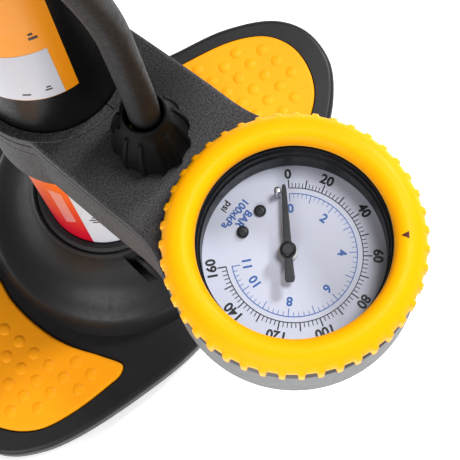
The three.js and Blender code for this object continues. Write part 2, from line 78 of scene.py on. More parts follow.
# Gauge
GAUGE_Y = -98.0
CASE_R = 39.3
TEETH = 43
CROWN_R = 33.2
CROWN_OUTER = (6.1, 6.0, 208.8)  # the outer rounding's width, height and foot
CROWN_INNER = (3.9, 3.8, 211.0)
DIAL_TOP = 192.1
NEEDLE = (-0.7, GAUGE_Y + 1.8)
REST_ANGLE = 42.0
ZERO_ANGLE = 42.6
SWEEP = 264.0
FULL_PSI = 160
SLOW_PSI = 20  # the scale is squeezed up to here
SLOW_SWEEP = 27.8
PSI_PER_BAR = 14.504


def at(x, y, z):
    return Vector((x * MM, (y + AXIS_Y) * MM, z * MM))


def rad(degrees):
    return math.radians(degrees)


# ---- Camera ----
CAMERA_AT = (-80.59, -161.70, 652.03)
CAMERA_YAW, CAMERA_PITCH, CAMERA_ROLL = 41.577, 76.284, -9.928


def make_camera():
    data = bpy.data.cameras.new("camera")
    data.sensor_width = 36
    data.lens = 120.54
    data.clip_start = 0.01
    cam = bpy.data.objects.new("camera", data)
    bpy.context.collection.objects.link(cam)
    yaw, pitch, roll = rad(CAMERA_YAW), rad(CAMERA_PITCH), rad(CAMERA_ROLL)
    ahead = math.cos(pitch)
    forward = Vector((math.sin(yaw) * ahead, math.cos(yaw) * ahead, -math.sin(pitch)))
    level = Vector((math.cos(yaw), -math.sin(yaw), 0))
    over = level.cross(forward)
    right = level * math.cos(roll) + over * math.sin(roll)
    up = over * math.cos(roll) - level * math.sin(roll)
    turn = Matrix((right, up, -forward)).transposed().to_4x4()
    cam.matrix_world = Matrix.Translation(at(*CAMERA_AT)) @ turn
    bpy.context.scene.camera = cam


make_camera()


# ---- Materials ----
M = {}


class Nodes:
    """A new material's node tree, with short calls for the nodes used here."""

    def __init__(self, name):
        self.material = M[name] = bpy.data.materials.new(name)
        self.material.use_nodes = True
        self.tree = self.material.node_tree
        self.shader = self.tree.nodes["Principled BSDF"]
        self.coords = self.add("ShaderNodeTexCoord").outputs["Object"]

    def add(self, kind, **settings):
        node = self.tree.nodes.new(kind)
        for key, value in settings.items():
            setattr(node, key, value)
        return node

    def link(self, a, b):
        self.tree.links.new(a, b)

    def drive(self, socket, value):
        """Links a value to one of the shader's sockets."""
        self.link(value, self.shader.inputs[socket])

    def noise(self, scale, detail=3.0, roughness=0.55, stretch=None):
        node = self.add("ShaderNodeTexNoise")
        node.inputs["Scale"].default_value = scale
        node.inputs["Detail"].default_value = detail
        node.inputs["Roughness"].default_value = roughness
        source = self.coords
        if stretch:
            mapping = self.add("ShaderNodeMapping")
            mapping.inputs["Scale"].default_value = stretch
            self.link(source, mapping.inputs["Vector"])
            source = mapping.outputs["Vector"]
        self.link(source, node.inputs["Vector"])
        return node.outputs["Fac"]

    def remap(self, value, low, high, start=0.3, end=0.7):
        node = self.add("ShaderNodeMapRange")
        node.inputs["From Min"].default_value = start
        node.inputs["From Max"].default_value = end
        node.inputs["To Min"].default_value = low
        node.inputs["To Max"].default_value = high
        self.link(value, node.inputs["Value"])
        return node.outputs["Result"]

    def blend(self, fac, a, b):
        """Mixes two colours, each a tuple or another node's output."""
        node = self.add("ShaderNodeMix", data_type="RGBA")
        # A Mix node has sockets for each kind of data: 6 and 7 in and 2 out are the colours.
        for socket, value in ((node.inputs[6], a), (node.inputs[7], b)):
            if isinstance(value, (tuple, list)):
                socket.default_value = (*value, 1)
            else:
                self.link(value, socket)
        self.link(fac, node.inputs[0])
        return node.outputs[2]

    def bump(self, height, strength, distance, below=None):
        node = self.add("ShaderNodeBump")
        node.inputs["Strength"].default_value = strength
        node.inputs["Distance"].default_value = distance * MM
        self.link(height, node.inputs["Height"])
        if below:
            self.link(below, node.inputs["Normal"])
        return node.outputs["Normal"]


def shade(colour, factor):
    return tuple(min(1.0, c * factor) for c in colour)


def surface(name, colour, rough, vary=0.08, rough_vary=0.05, patch=45,
            grain=None, wave=None, stretch=None, **constant):
    """A moulded or painted surface: colour patches, uneven gloss, a fine grain, a slow waviness.

    grain and wave are (scale per metre, strength, depth in mm). The rest are values for the
    shader's own sockets.
    """
    n = Nodes(name)
    slow = n.remap(n.noise(patch, 3.0), 0, 1)
    n.drive("Base Color", n.blend(slow, shade(colour, 1 - vary), shade(colour, 1 + vary)))
    gloss = n.noise(patch * 9, 4.0, 0.6, stretch)
    n.drive("Roughness", n.remap(gloss, rough - rough_vary, rough + rough_vary))
    normal = None
    if wave:
        normal = n.bump(n.noise(wave[0], 2.0), wave[1], wave[2])
    if grain:
        normal = n.bump(n.noise(grain[0], 4.0, 0.6, stretch), grain[1], grain[2], normal)
    if normal:
        n.drive("Normal", normal)
    for key, value in constant.items():
        n.shader.inputs[key.replace("_", " ")].default_value = value
    return n.material


def speckled(name, dark, light, rough, scale, depth):
    """Spark-textured plastic: a pebbled grain whose tops are paler than its pits, as painted
    highlight on the tops and painted shade in the pits.
    """
    n = Nodes(name)
    grain = n.noise(scale, 5.0, 0.7)
    patch = n.noise(38, 2.0)
    # Painted highlight and shade: the grain's tops are painted pale and its pits dark.
    tone = n.blend(n.remap(grain, 0, 1, 0.36, 0.68), dark, light)
    n.drive("Base Color", n.blend(n.remap(patch, 0.0, 0.35), tone, shade(dark, 0.7)))
    n.drive("Roughness", n.remap(grain, rough + 0.1, rough - 0.12))
    n.drive("Normal", n.bump(grain, 0.8, depth))
    return n.material


def graded(name, low, high, low_z, high_z, rough):
    """A printed label film whose colour runs from one height to another: a change of hue on the red
    and pink films, mainly darker towards the top on the amber, pale and white films.
    """
    n = Nodes(name)
    split = n.add("ShaderNodeSeparateXYZ")
    n.link(n.coords, split.inputs[0])
    fade = n.remap(split.outputs["Z"], 0, 1, low_z * MM, high_z * MM)
    print_grain = n.remap(n.noise(900, 2.0), -0.03, 0.03)
    mixed = n.add("ShaderNodeMath", operation="ADD", use_clamp=True)
    n.link(fade, mixed.inputs[0])
    n.link(print_grain, mixed.inputs[1])
    n.drive("Base Color", n.blend(mixed.outputs[0], low, high))
    n.drive("Roughness", n.remap(n.noise(260, 3.0), rough + 0.12, rough + 0.2))
    n.drive("Normal", n.bump(n.noise(60, 2.0), 0.04, 0.05))
    n.shader.inputs["Specular IOR Level"].default_value = 0.3
    return n.material


def clear(name):
    """Clear plastic. A paler base colour would veil what is behind it."""
    n = Nodes(name)
    n.drive("Roughness", n.remap(n.noise(80, 2.0), 0.03, 0.07))
    n.drive("Normal", n.bump(n.noise(40, 1.0), 0.02, 0.02))
    n.shader.inputs["Base Color"].default_value = (0.05, 0.06, 0.07, 1)
    n.shader.inputs["Alpha"].default_value = 0.06
    n.shader.inputs["IOR"].default_value = 1.49
    return n.material


def make_materials():
    surface("gloss_black", (0.006, 0.006, 0.007), 0.3, 0.1, 0.05,
            wave=(160, 0.05, 0.05), grain=(2600, 0.03, 0.02), Specular_IOR_Level=0.1)
    surface("nut_black", (0.006, 0.006, 0.0065), 0.5, 0.12, 0.06,
            grain=(3000, 0.16, 0.03), Specular_IOR_Level=0.1)
    surface("satin_black", (0.021, 0.021, 0.0225), 0.42, 0.12, 0.06,
            grain=(3200, 0.16, 0.03), wave=(90, 0.06, 0.2), Specular_IOR_Level=0.35)
    # The arm's grain; its pale tone is painted highlight on the grain's tops.
    speckled("arm_grain_and_sheen", (0.006, 0.006, 0.0065), (0.1, 0.097, 0.104), 0.6, 1700, 0.2)
    surface("soft_grip", (0.04, 0.04, 0.043), 0.66, 0.12, 0.06, grain=(2200, 0.4, 0.06))
    surface("rubber", (0.026, 0.026, 0.027), 0.62, 0.15, 0.07, grain=(2400, 0.3, 0.04))
    surface("hose_rubber", (0.008, 0.008, 0.009), 0.5, 0.2, 0.08, patch=70,
            grain=(1500, 0.22, 0.05), wave=(120, 0.08, 0.2), Specular_IOR_Level=0.22)
    surface("yellow", (0.93, 0.44, 0.002), 0.42, 0.02, 0.05,
            grain=(2500, 0.08, 0.03), wave=(70, 0.05, 0.2), Specular_IOR_Level=0.12,
            Subsurface_Weight=0.08, Subsurface_Scale=0.002)
    surface("pad_yellow", (0.93, 0.39, 0.002), 0.55, 0.05, 0.06,
            grain=(2600, 0.3, 0.05), Specular_IOR_Level=0.3,
            Subsurface_Weight=0.08, Subsurface_Scale=0.002)
    graded("amber_film", (0.7, 0.27, 0.002), (0.6, 0.225, 0.003), *UPPER_LABEL, 0.22)
    graded("pale_film", (0.5, 0.5, 0.54), (0.42, 0.42, 0.46), 232, 270, 0.22)
    graded("red_film", (0.56, 0.0, 0.028), (0.72, 0.14, 0.01), 62, 132, 0.2)
    graded("pink_film", (0.58, 0.2, 0.2), (0.62, 0.24, 0.16), 75, 125, 0.3)
    graded("white_film", (0.6, 0.6, 0.65), (0.52, 0.52, 0.53), 51, 125, 0.25)
    surface("dial_white", (0.75, 0.785, 0.93), 0.5, 0.02, 0.05, grain=(3000, 0.04, 0.02))
    surface("ink_black", (0.014, 0.014, 0.018), 0.45, 0.1, 0.05, grain=(4000, 0.05, 0.02))
    surface("ink_blue", (0.05, 0.17, 0.52), 0.45, 0.08, 0.05, grain=(4000, 0.05, 0.02))
    surface("ink_brown", (0.09, 0.018, 0.004), 0.5, 0.1, 0.05, grain=(4000, 0.05, 0.02))
    surface("pointer_black", (0.016, 0.017, 0.021), 0.4, 0.1, 0.06, grain=(3500, 0.1, 0.03))
    surface("case_grey", (0.125, 0.128, 0.128), 0.48, 0.04, 0.05,
            grain=(2800, 0.12, 0.03), Metallic=0.25)
    surface("steel", (0.56, 0.57, 0.58), 0.27, 0.05, 0.06,
            grain=(1600, 0.1, 0.02), stretch=(1, 1, 40), Metallic=1.0)
    surface("brass", (0.6, 0.41, 0.13), 0.3, 0.07, 0.07,
            grain=(1500, 0.12, 0.02), Metallic=1.0)
    surface("white_plastic", (0.68, 0.69, 0.73), 0.4, 0.03, 0.05, grain=(2500, 0.08, 0.02))
    clear("lens")


make_materials()


# ---- Shape helpers ----
def new_object(name, points, faces):
    mesh = bpy.data.meshes.new(name)
    mesh.from_pydata([at(*p) for p in points], [], faces)
    obj = bpy.data.objects.new(name, mesh)
    bpy.context.collection.objects.link(obj)
    bm = bmesh.new()
    bm.from_mesh(mesh)
    bmesh.ops.remove_doubles(bm, verts=bm.verts, dist=1e-7)
    bmesh.ops.recalc_face_normals(bm, faces=bm.faces)
    bm.to_mesh(mesh)
    bm.free()
    return obj


def fillet(points, closed=False, steps=4):
    """A path of (a, b) or (a, b, radius) points, with an arc at each corner that has a radius."""
    out = []
    for i, (a, b, *radius) in enumerate(points):
        if not radius or (not closed and i in (0, len(points) - 1)):
            out.append((a, b))
            continue
        here = Vector((a, b))
        u = Vector(points[i - 1][:2]) - here
        v = Vector(points[(i + 1) % len(points)][:2]) - here
        reach = min(radius[0] / math.tan(u.angle(v) / 2), 0.48 * u.length, 0.48 * v.length)
        start, end = here + u.normalized() * reach, here + v.normalized() * reach
        for k in range(steps + 1):
            t = k / steps
            p = start * (1 - t) ** 2 + here * 2 * t * (1 - t) + end * t**2
            out.append((p.x, p.y))
    return out


def smooth(points, per=8, closed=False):
    """Points along a centripetal Catmull-Rom curve through the given ones."""
    pts = [Vector(p) for p in points]
    if closed:
        line = [pts[-1], *pts, pts[0], pts[1]]
    else:
        line = [2 * pts[0] - pts[1], *pts, 2 * pts[-1] - pts[-2]]
    out = []
    for p0, p1, p2, p3 in zip(line, line[1:], line[2:], line[3:]):
        t1, t2 = tangents(p0, p1, p2, p3)
        for k in range(per):
            s = k / per
            out.append(
                (2 * s**3 - 3 * s**2 + 1) * p1 + (s**3 - 2 * s**2 + s) * t1
                + (3 * s**2 - 2 * s**3) * p2 + (s**3 - s**2) * t2
            )
    if not closed:
        out.append(pts[-1])
    return [tuple(p) for p in out]


def tangents(p0, p1, p2, p3):
    """The curve's tangents at p1 and p2."""
    a, b, c = ((q - p).length ** 0.5 for p, q in ((p0, p1), (p1, p2), (p2, p3)))
    t1 = ((p1 - p0) / a - (p2 - p0) / (a + b) + (p2 - p1) / b) * b
    t2 = ((p2 - p1) / b - (p3 - p1) / (b + c) + (p3 - p2) / c) * b
    return t1, t2


def polar(name, path, angles, lift=None, centre=(0, 0), axis="z", middle=0.0):
    """A body turned about an axis from (radius, height) or (radius, height, relief) points.

    The relief times lift[i] adds to the radius at angle i. A path that doesn't start and end on
    the axis is closed on itself. A "z" axis stands at centre. An "x" or "y" axis lies at the
    height middle, with centre[0] as its other horizontal place, and path heights run along it.
    """
    points, rows = [], []
    for r, h, *relief in path:
        if r < 1e-6:
            rows.append([len(points)])
            points.append((0.0, 0.0, h))
            continue
        rows.append(list(range(len(points), len(points) + len(angles))))
        for i, a in enumerate(angles):
            reach = r + (relief[0] * lift[i] if relief else 0)
            points.append((reach * math.cos(a), reach * math.sin(a), h))
    pairs = list(zip(rows, rows[1:]))
    if len(rows[0]) > 1 or len(rows[-1]) > 1:
        pairs.append((rows[-1], rows[0]))
    faces = []
    for low, high in pairs:
        n = max(len(low), len(high))
        for i in range(n):
            j = (i + 1) % n
            quad = [low[i % len(low)], low[j % len(low)],
                    high[j % len(high)], high[i % len(high)]]
            faces.append(list(dict.fromkeys(quad)))
    place = {
        "z": lambda a, b, h: (a + centre[0], b + centre[1], h),
        "x": lambda a, b, h: (h, a + centre[0], b + middle),
        "y": lambda a, b, h: (a + centre[0], h, b + middle),
    }[axis]
    return new_object(name, [place(*p) for p in points], faces)


def around(count):
    """Even angles around a circle."""
    return [2 * math.pi * i / count for i in range(count)]


def flutes(angles, count):
    """A lift for polar: rounded ribs with flats of the same width between them."""
    return [max(0.0, math.cos(count * a)) ** 2 for a in angles]


def repeated(pattern, count, start):
    """Angles and lift for polar from (share of a step, lift) points, repeated around a circle."""
    turns = [i + turn for i in range(count) for turn, _ in pattern]
    angles = [2 * math.pi * turn / count + start for turn in turns]
    return angles, [height for _, height in pattern] * count


def lathe(name, path, segments=96, centre=(0, 0), axis="z", middle=0.0):
    return polar(name, path, around(segments), None, centre, axis, middle)


def disc(r, low, high, centre=(0, 0), segments=64, axis="z", middle=0.0):
    return lathe("tool", [(0, low), (r, low), (r, high), (0, high)], segments, centre, axis, middle)


def inset(outline, distance):
    """The outline moved inwards, point by point, along its local normal."""
    if abs(distance) < 1e-9:
        return list(outline)
    after = [*outline[1:], outline[0]]
    area = sum(x * y2 - x2 * y for (x, y), (x2, y2) in zip(outline, after))
    side = 1 if area > 0 else -1
    out = []
    for i, (x, y) in enumerate(outline):
        here = Vector((x, y))
        u = (here - Vector(outline[i - 1])).normalized()
        v = (Vector(after[i]) - here).normalized()
        a, b = Vector((-u.y, u.x)), Vector((-v.y, v.x))
        middle = (a + b).normalized()
        move = middle * side * distance / max(0.5, middle.dot(a))
        out.append((x + move.x, y + move.y))
    return out


def rounded_rings(low, high, bottom, top, steps=4):
    """Levels of an upright slab with rounded lower and upper edges, as (height, inset)."""
    turns = [rad(90) * k / steps for k in range(steps + 1)]
    lower, upper = [(low, 0)], [(high, 0)]
    if bottom:
        lower = [(low + bottom * (1 - math.cos(a)), bottom * (1 - math.sin(a))) for a in turns]
    if top:
        upper = [(high - top * (1 - math.sin(a)), top * (1 - math.cos(a))) for a in turns]
    return lower + upper


def slab(name, outline, rings, place=lambda a, b, h: (a, b, h)):
    """An outline swept through (height, inset) levels and capped."""
    points, faces, n = [], [], len(outline)
    for h, distance in rings:
        points += [place(x, y, h) for x, y in inset(outline, distance)]
    for ring in range(len(rings) - 1):
        for i in range(n):
            j = (i + 1) % n
            faces.append([ring * n + i, ring * n + j, ring * n + n + j, ring * n + n + i])
    faces.append(list(range(n)))
    faces.append(list(range(len(points) - n, len(points))))
    return new_object(name, points, faces)


def block(x0, x1, y0, y1, z0, z1):
    return slab("tool", [(x0, y0), (x1, y0), (x1, y1), (x0, y1)], [(z0, 0), (z1, 0)])


def arc(r, start, end, steps, cy=0.0):
    angles = [rad(start + (end - start) * i / steps) for i in range(steps + 1)]
    return [(r * math.cos(a), cy + r * math.sin(a)) for a in angles]


def mirror(outline):
    return [(-x, y) for x, y in reversed(outline)]


def inside(outline, x, y):
    hit = False
    for (x1, y1), (x2, y2) in zip(outline, [*outline[1:], outline[0]]):
        if (y1 > y) != (y2 > y) and x < (x2 - x1) * (y - y1) / (y2 - y1) + x1:
            hit = not hit
    return hit


def merge(objects):
    """Puts the meshes of several objects into the first one, without cutting them."""
    first, *others = objects
    bm = bmesh.new()
    for obj in objects:
        bm.from_mesh(obj.data)
    bm.to_mesh(first.data)
    bm.free()
    for obj in others:
        bpy.data.objects.remove(obj, do_unlink=True)
    return first


def bake(obj):
    """Applies the modifiers."""
    graph = bpy.context.evaluated_depsgraph_get()
    mesh = bpy.data.meshes.new_from_object(obj.evaluated_get(graph))
    obj.modifiers.clear()
    obj.data = mesh
    return obj


def combine(obj, operation, *tools):
    for tool in tools:
        change = obj.modifiers.new("change", "BOOLEAN")
        change.operation = operation
        change.solver = "EXACT"
        change.object = tool
        bake(obj)
        bpy.data.objects.remove(tool, do_unlink=True)
    return obj


def carve(obj, *tools):
    return combine(obj, "DIFFERENCE", *tools)


def unite(obj, *tools):
    return combine(obj, "UNION", *tools)


def soften(obj, angle=32, bevel=0.0, flats=True):
    """Smooth shading, with edges kept sharp above an angle.

    bevel rounds those edges first, by a width in mm. flats keeps flat faces looking flat.
    """
    if bevel:
        round_over = obj.modifiers.new("bevel", "BEVEL")
        round_over.width = bevel * MM
        round_over.segments = 2
        round_over.limit_method = "ANGLE"
        round_over.angle_limit = rad(angle)
        bake(obj)
    bm = bmesh.new()
    bm.from_mesh(obj.data)
    for face in bm.faces:
        face.smooth = True
    for edge in bm.edges:
        edge.smooth = len(edge.link_faces) == 2 and edge.calc_face_angle(0) < rad(angle)
    bm.to_mesh(obj.data)
    bm.free()
    if flats:
        weighted = obj.modifiers.new("normals", "WEIGHTED_NORMAL")
        weighted.keep_sharp = True
        bake(obj)
    return obj


def piece(obj, name, look, slot, *nodes, body="stand", angle=32, bevel=0.0, flats=True):
    """Finishes a piece: shading, material, name, body and replaced CAD nodes. slot is not used."""
    soften(obj, angle, bevel, flats)
    obj.name = name
    obj.data.name = name
    obj.data.materials.clear()
    obj.data.materials.append(M[look])
    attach(obj, body)
    if nodes:
        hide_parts(*nodes)
    return obj


# ---- Hose ----
ROUTE = [
    (0, NUT_Y, 221.7), (0.3, -42.2, 236), (1.1, -39.9, 251), (1.6, -37.9, 267),
    (1.5, -36.6, 282), (-1, -35.3, 305), (-7.5, -34.7, 340), (-19, -34.6, 382),
    (-31, -34.3, 425), (-38.5, -34.1, 468), (-LEG_X, LEG_Y, 505), (-LEG_X, LEG_Y, 535),
]
for step in range(13):
    turn = math.pi * step / 12
    ROUTE.append((-LEG_X * math.cos(turn), LEG_Y, ARCH_Z + LEG_X * math.sin(turn)))
ROUTE += [(LEG_X, LEG_Y, z) for z in (530, 495, 460, 425, 395, CHUCK_TOP + GAP)]


def hose():
    points = [at(*p) for p in ROUTE]
    curve = bpy.data.curves.new("hose_line", "CURVE")
    curve.dimensions = "3D"
    curve.bevel_depth = HOSE_R * MM
    curve.bevel_resolution = 7
    curve.resolution_u = 8
    curve.use_fill_caps = True
    spline = curve.splines.new("BEZIER")
    spline.bezier_points.add(len(points) - 1)
    extended = [2 * points[0] - points[1], *points, 2 * points[-1] - points[-2]]
    leave, arrive = {}, {}
    for i in range(len(points) - 1):
        leave[i], arrive[i + 1] = tangents(*extended[i:i + 4])
    for i, (knot, p) in enumerate(zip(spline.bezier_points, points)):
        knot.handle_left_type = knot.handle_right_type = "FREE"
        knot.co = p
        knot.handle_left = p - arrive.get(i, leave.get(i)) / 3
        knot.handle_right = p + leave.get(i, arrive.get(i)) / 3
    curve.materials.append(M["hose_rubber"])
    obj = bpy.data.objects.new("hose_line", curve)
    bpy.context.collection.objects.link(obj)
    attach(obj, "stand")
    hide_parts("hose")
    line = smooth(points, 24)
    length = sum((Vector(b) - Vector(a)).length for a, b in zip(line, line[1:]))
    return obj, length


hose_line, hose_length = hose()


# ---- Base ----
RIGHT_RIM = [
    (26, -65.5), (53, -60), (84, -50), (99, -42), (110, -31), (114.5, -15),
    (110, -1), (93, 14), (68, 26), (49, 36.5), (32, 50), (13, 58.5),
]
RIGHT_PAD = [
    (50, -46.5), (54, -48.5), (61, -47.5), (79, -43), (93, -36.5), (101, -27),
    (104.5, -15), (101.5, -3), (90, 8), (68, 18.5), (58, 22.5), (54.5, 20),
    (58, 8), (59.5, -6), (58, -22), (52.5, -37),
]
RIGHT_HOLLOW = [(66, -38), (96, -26), (104, -14), (98, 0), (66, 14), (64, -12)]
BOSS_SIDE = [
    (56, 12.6), (54.6, 16), (52.9, 20.4), (51.6, 22.8), (49.2, 24.5), (44, 27.2),
    (38.5, 31.5), (33.6, 38), (31, 44), (30.1, 48.2),
]
FEET = [(88, -24), (-88, -24), (30, 24), (-30, 24), (0, -48)]
DOME_PITCH = 8.2


def front_pocket():
    """The space cut from the front of the boss, less two ribs that stand in it."""
    return carve(
        block(-17.9, 17.9, -42, -20, 29.5, 60), disc(30, 29, 61, segments=128),
        block(-14.6, -13.4, -43, -20, 29, 38), block(13.4, 14.6, -43, -20, 29, 38),
    )


def base_plate():
    rim = smooth([*RIGHT_RIM, *mirror(RIGHT_RIM)], 8, True)
    plate = slab("plate", rim, rounded_rings(3, PLATE_TOP, 1.2, 2.4, 5))
    top = [(29.6, 49.2), (28.9, BOSS_TOP), (28.3, 49.1), (0, 49.1)]
    boss = [(0, 3.6), (55.8, 3.6), *smooth(BOSS_SIDE, 4), *top]
    unite(plate, lathe("boss", boss, 160))
    tools = [
        disc(TUBE_R + GAP, 16, 60, segments=96), disc(28.2, 43.5, 60, segments=128),
        front_pocket(), disc(3.3, 0, 20), disc(7.4, 0, 8),
    ]
    pad = smooth(RIGHT_PAD, 6, True)
    tools += [slab("tool", side, [(10.5, 0), (20, 0)]) for side in (pad, mirror(pad))]
    hollow = smooth(RIGHT_HOLLOW, 6, True)
    tools += [slab("tool", side, [(2, 0), (7.5, 0)]) for side in (hollow, mirror(hollow))]
    tools += [disc(9.3, 2, 4.3, foot) for foot in FEET]
    return carve(plate, *tools)


def foot_pad(outline, side):
    pad = slab("pad", inset(outline, 0.5), rounded_rings(10.8, 14.6, 0, 1.1, 5))
    edge = inset(outline, 4.6)
    profile = [(0, 14.2), (2.6, 14.2), (2.6, 14.62), (2.2, 14.88), (1.5, 15.08),
               (0.7, 15.18), (0, 15.2)]
    domes = []
    for i in range(8):
        for j in range(12):
            x, y = side * (61.7 + DOME_PITCH * i), -46.7 + DOME_PITCH * j
            if inside(edge, x, y):
                domes.append(lathe("dome", profile, 24, (x, y)))
    return unite(pad, merge(domes))


def build_base():
    piece(base_plate(), "base", "satin_black", "black_plastic", "base_plate", angle=38)
    outline = smooth(RIGHT_PAD, 6, True)
    right, left = foot_pad(outline, 1), foot_pad(mirror(outline), -1)
    piece(right, "pad_right", "pad_yellow", "yellow_rubber", "foot_pad_right", angle=50)
    piece(left, "pad_left", "pad_yellow", "yellow_rubber", "foot_pad_left", angle=50)
    path = fillet([(0, 0.6), (3, 0.6), (3.6, 0), (9, 0, 0.6), (9, 4, 0.3), (0, 4)])
    for i, place in enumerate(FEET, 1):
        foot = lathe("foot", path, 48, place)
        piece(foot, f"foot_{i}", "rubber", "black_rubber", f"base_foot_{i}")
    inner = TUBE_R + GAP
    seal = fillet([
        (inner, 43.8), (27.9, 43.8), (27.9, 49.6, 0.6), (26.4, 50.4, 0.5), (inner, 50.4, 0.5),
    ], True)
    piece(lathe("seal", seal, 128), "boss_seal", "rubber", "black_rubber", "boss_ring")


# ---- Barrel ----
FILM = (TUBE_R + 0.05, TUBE_R + 0.3)  # inner and outer radius of a label
PANEL = (TUBE_R + 0.28, TUBE_R + 0.36)  # of a field printed on it
PRINT = (TUBE_R + 0.28, TUBE_R + 0.4)  # and of its small print
UPPER_BARS = [
    (236.4, 238.2, 5.0, 1.1), (236.8, 240.4, 3.2, 1.0), (220.5, 236.6, 6.0, 1.2),
    (241.0, 277.0, 6.0, 1.5), (240.2, 280.0, 3.0, 1.3),
]
LOWER_BARS = [(222.5, 84, 7, 1.4), (221.5, 87.4, 9, 1.4), (223, 90.8, 6, 1.4)]


def wrapped(start, end, low, high, inner, outer, steps=48):
    """A thin plate on the tube between two angles. low and high give its edges at an angle."""
    points, faces = [], []
    for i in range(steps + 1):
        a = start + (end - start) * i / steps
        c, s = math.cos(rad(a)), math.sin(rad(a))
        for r, z in ((inner, low(a)), (outer, low(a)), (outer, high(a)), (inner, high(a))):
            points.append((r * c, r * s, z))
    for i in range(steps):
        for k in range(4):
            m = (k + 1) % 4
            faces.append([4 * i + k, 4 * i + m, 4 * i + 4 + m, 4 * i + 4 + k])
    faces += [[0, 1, 2, 3], [4 * steps + k for k in range(4)]]
    return new_object("plate", points, faces)


def level(z):
    """A level edge for wrapped."""
    return lambda a: z


def slant(a0, z0, a1, z1):
    """An edge for wrapped that climbs from z0 at angle a0 to z1 at angle a1."""
    return lambda a: z0 + (z1 - z0) * (a - a0) / (a1 - a0)


def print_bars(name, rows):
    """Short plain bars in place of small print, from (angle, z, width in degrees, height)."""
    bars = [
        wrapped(a - width / 2, a + width / 2, level(z), level(z + height), *PRINT, steps=6)
        for a, z, width, height in rows
    ]
    piece(merge(bars), name, "ink_black", "black_plastic")


def build_labels():
    low, high = UPPER_LABEL
    label = wrapped(103, 256.8, level(low), level(high), *FILM)
    piece(label, "barrel_film", "amber_film", "yellow_label", "barrel_label")
    field = wrapped(196, 246.2, level(232.4), level(268), *PANEL)
    piece(field, "barrel_film_panel", "pale_film", "white_plastic")

    low, high = LOWER_LABEL
    label = wrapped(150, 390, level(low), level(high), *FILM, steps=90)
    piece(label, "lower_film", "red_film", "red_label", "lower_label")
    field = wrapped(209.6, 300, level(low + 0.2), level(high - 0.2), *PANEL)
    piece(field, "lower_film_white", "white_film", "white_plastic")
    field = wrapped(190.6, 202.8, slant(190, 75.3, 203, 82), level(124), *PANEL)
    piece(field, "lower_film_panel", "pink_film", "white_plastic")

    print_bars("barrel_film_marks", UPPER_BARS)
    print_bars("lower_film_marks", LOWER_BARS)


def build_barrel():
    inner, foot = TUBE_R - 1.2, 16.3
    wall = [(inner, foot), (TUBE_R, foot), (TUBE_R, TUBE_TOP), (inner, TUBE_TOP)]
    piece(lathe("tube", wall, 160), "barrel", "gloss_black", "gloss_black", "barrel_tube")
    build_labels()

    inner = TUBE_R + GAP
    cap = fillet([
        (7, 612), (7, 616, 0.4), (22, 616, 0.8), (26, 613.6, 1.5), (27, 610, 1.5),
        (27, 584, 1.2), (26, 580, 0.6), (inner, 580), (inner, 600.3), (10.3, 600.3), (10.3, 612),
    ], True)
    cap = [(r, z, -0.7 if r > 26.6 else 0.0) for r, z in cap]
    angles = around(240)
    cap = polar("cap", cap, angles, flutes(angles, 24))
    piece(cap, "top_cap", "satin_black", "black_plastic", "barrel_cap", angle=40)


# ---- Piston rod and handle ----
BAR_HALF = 108
GRIP_FROM, GRIP_TO = 24.6, 107
GRIP_WAVES = [(24.6, 15.0), (40, 14.1), (65, 15.2), (90, 14.4), (107, 15.8)]
GRIP_STEPS = 199
RIB_PITCH = 6.2


def grip_radius(x):
    """The grip's radius at x, with its long waves and its narrow grooves."""
    radius = GRIP_WAVES[-1][1]
    for (x0, r0), (x1, r1) in zip(GRIP_WAVES, GRIP_WAVES[1:]):
        if x <= x1:
            t = (x - x0) / (x1 - x0)
            radius = r0 + (r1 - r0) * (3 * t * t - 2 * t**3)
            break
    if 31 < x < 101:
        radius -= 0.55 * max(0.0, math.cos(2 * math.pi * (x - 30) / RIB_PITCH)) ** 6
    return radius


def grip(side):
    path = [(0, 108.3), (9.3, 108.3), (9.3, 18), (16.4, 18)]
    path += [(17.2, 18.3), (17.6, 19.4), (17.6, 21.6), (16.6, 23.2)]
    for k in range(GRIP_STEPS + 1):
        x = GRIP_FROM + (GRIP_TO - GRIP_FROM) * k / GRIP_STEPS
        path.append((grip_radius(x), x))
    path += [(15.2, 108.8), (14.2, 110.3), (12.4, 111.4), (9.5, 112), (0, 112)]
    return lathe("grip", [(r, side * x) for r, x in path], 72, (0, 0), "x", HANDLE_Z)


def build_handle():
    path = fillet([(0, 62.3), (6, 62.3, 0.5), (6, 642, 0.5), (0, 642)])
    piece(lathe("rod", path, 64), "rod", "steel", "steel", "piston_rod", body="plunger")
    path = fillet([
        (6.6, 616.3), (13.5, 616.3, 0.8), (13.5, 621.7, 1.2), (6.6, 621.7, 0.4),
    ], True)
    bumper = lathe("bumper", path, 64)
    piece(bumper, "top_bumper", "rubber", "black_rubber", "handle_bumper")

    path = fillet([
        (0, 622), (12.6, 622, 0.6), (15.2, 624.4, 1.2), (15.6, 634, 2), (15.6, 647, 2),
        (13.2, 653.4, 3), (6.4, 654.8, 0.8), (5.6, 654.6, 0.4), (5.6, 650.2), (0, 650.2),
    ], steps=5)
    hub = lathe("hub", path, 96)
    path = [(0, -BAR_HALF), (9, -BAR_HALF), (9, BAR_HALF), (0, BAR_HALF)]
    handle = unite(hub, lathe("bar", path, 64, (0, 0), "x", HANDLE_Z))
    piece(handle, "handle", "satin_black", "black_plastic", "handle_bar",
          body="plunger", angle=40, bevel=0.4)

    for side, name in ((1, "right"), (-1, "left")):
        piece(grip(side), f"hand_grip_{name}", "soft_grip", "dark_grey_plastic", f"grip_{name}",
              body="plunger", angle=45)
    path = fillet([
        (0, 628), (2, 628), (2, 650.4), (5.2, 650.4, 0.3), (5.2, 652.6, 0.8), (2.6, 653.6),
        (2.4, 651.6), (0, 651.6),
    ])
    screw = lathe("screw", path, 48)
    piece(screw, "hub_screw", "steel", "steel", "handle_screw", body="plunger")


